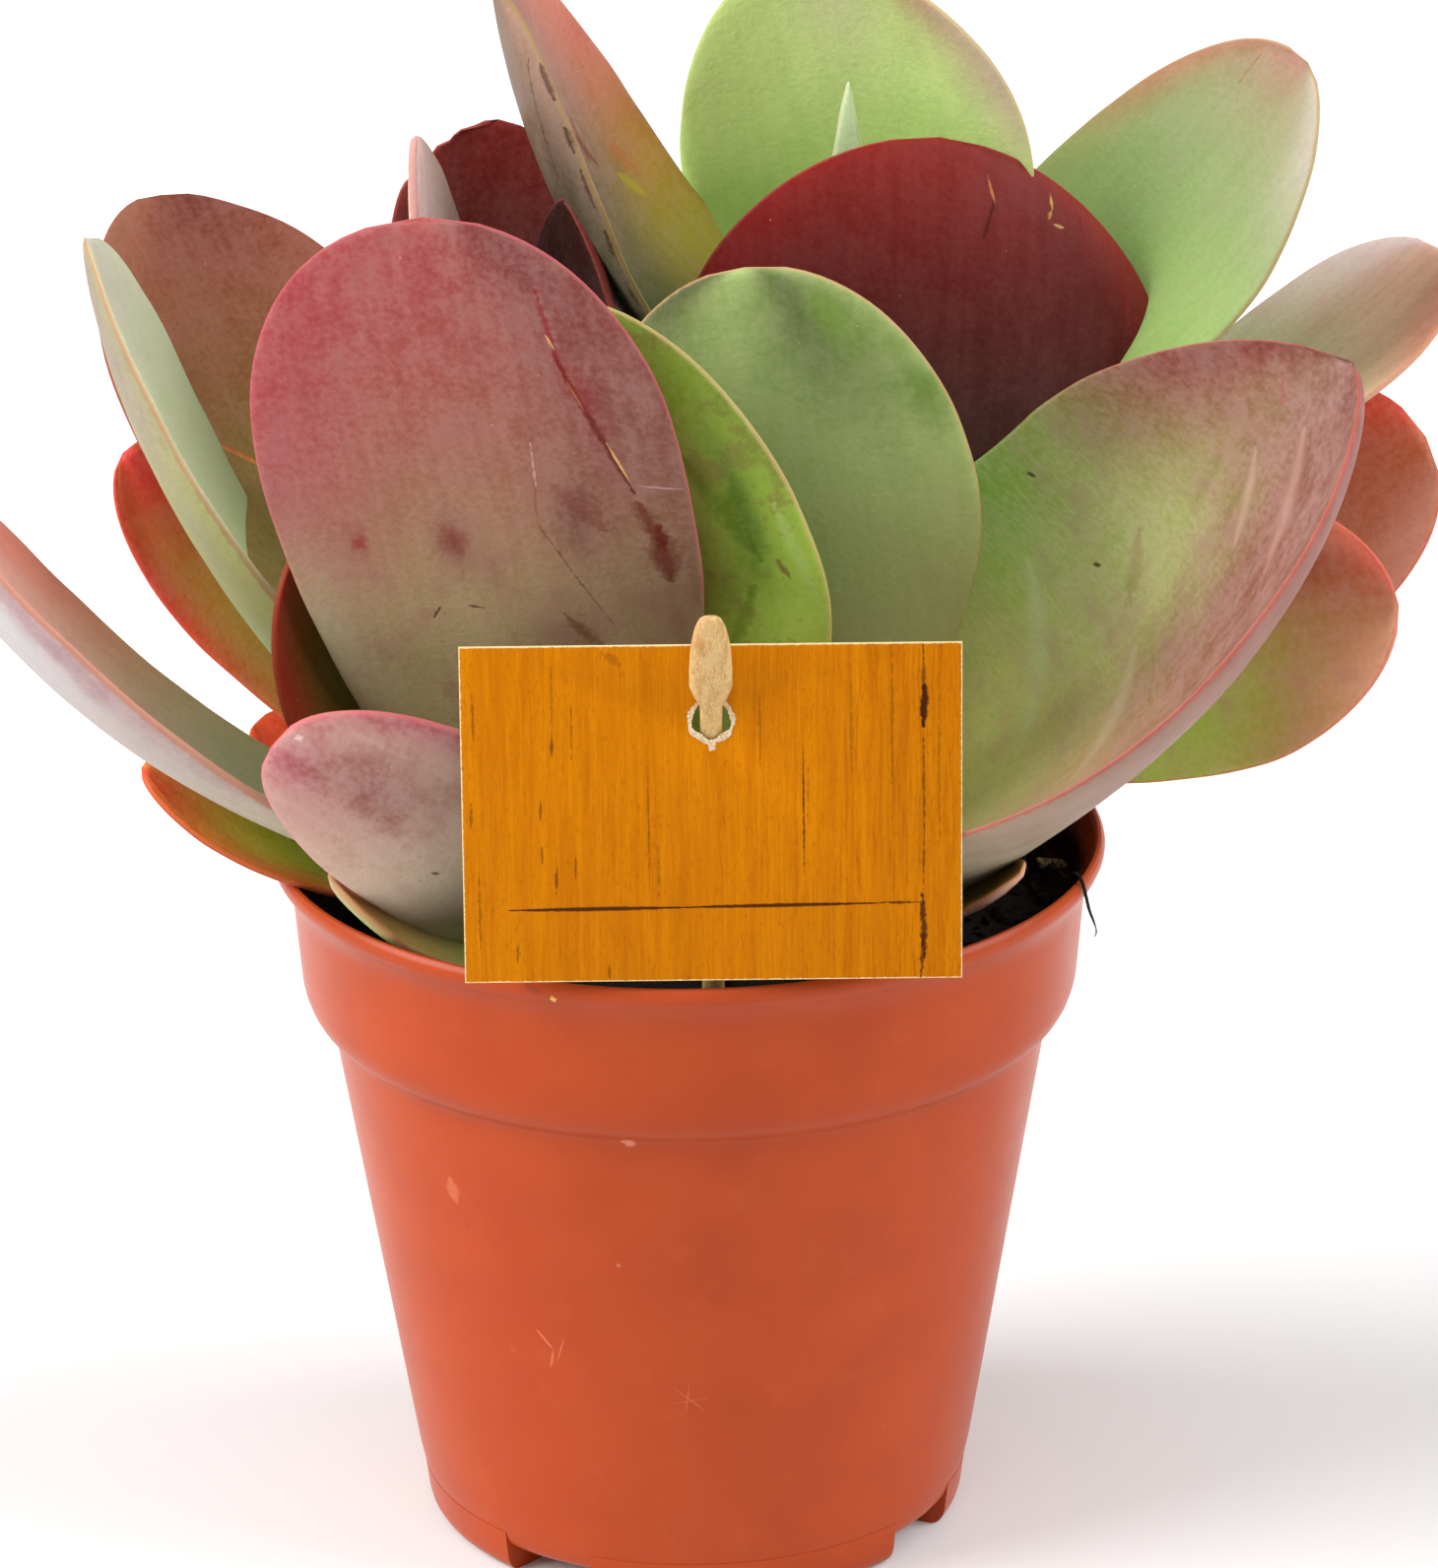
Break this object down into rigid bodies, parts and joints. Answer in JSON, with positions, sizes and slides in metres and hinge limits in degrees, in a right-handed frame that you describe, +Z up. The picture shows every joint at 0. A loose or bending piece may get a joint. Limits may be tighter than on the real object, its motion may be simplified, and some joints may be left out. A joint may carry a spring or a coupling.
{
  "type": "potted paddle plant",
  "caption": "Flat-leaved succulent with two stems of round fleshy paddle leaves, standing in a plastic nursery pot of soil, with a plain wood-grain card hung on a bamboo peg.",
  "frame": {"origin": "on the floor, under the middle of the whole plant's bounding box, which is also the axis of the pot to within two millimetres", "axes": "+Z is up along the pot's axis; +X is to the right and +Y to the back for someone looking at the face of the card, which is on the -Y side"},
  "size_m": [0.261, 0.1496, 0.2642],
  "materials": {
    "terracotta_plastic": "satin",
    "peat": "matte",
    "stem_skin": "satin",
    "red_leaf_skin": "satin",
    "dark_leaf_skin": "satin",
    "green_leaf_skin": "satin",
    "pale_leaf_skin": "satin",
    "printed_card": "matte",
    "bamboo": "matte"
  },
  "bodies": {
    "root": {"left_stem": "stem_skin", "right_stem": "stem_skin", "left_front_leaf": "red_leaf_skin", "left_centre_leaf": "green_leaf_skin", "left_low_front_leaf": "red_leaf_skin", "left_under_leaf": "green_leaf_skin", "left_rim_leaf": "red_leaf_skin", "left_long_leaf": "pale_leaf_skin", "left_dark_leaf": "dark_leaf_skin", "left_upright_leaf": "pale_leaf_skin", "left_red_leaf": "red_leaf_skin", "left_low_back_leaf": "red_leaf_skin", "left_rear_leaf": "dark_leaf_skin", "left_back_leaf": "dark_leaf_skin", "left_inner_leaf": "dark_leaf_skin", "left_bud_leaf": "pale_leaf_skin", "right_small_leaf": "green_leaf_skin", "right_front_leaf": "red_leaf_skin", "right_centre_leaf": "green_leaf_skin", "right_low_leaf": "red_leaf_skin", "right_outer_leaf": "red_leaf_skin", "right_back_leaf": "dark_leaf_skin", "right_far_leaf": "pale_leaf_skin", "top_left_leaf": "green_leaf_skin", "top_right_leaf": "green_leaf_skin", "top_green_leaf": "green_leaf_skin", "right_bud_leaf": "pale_leaf_skin", "back_low_left_leaf": "red_leaf_skin", "back_low_right_leaf": "green_leaf_skin", "back_left_leaf": "dark_leaf_skin", "back_centre_leaf": "green_leaf_skin", "back_right_leaf": "red_leaf_skin", "back_tall_leaf": "green_leaf_skin", "soil": "peat", "pot": "terracotta_plastic", "card": "printed_card", "peg": "bamboo"}
  },
  "joints": []
}
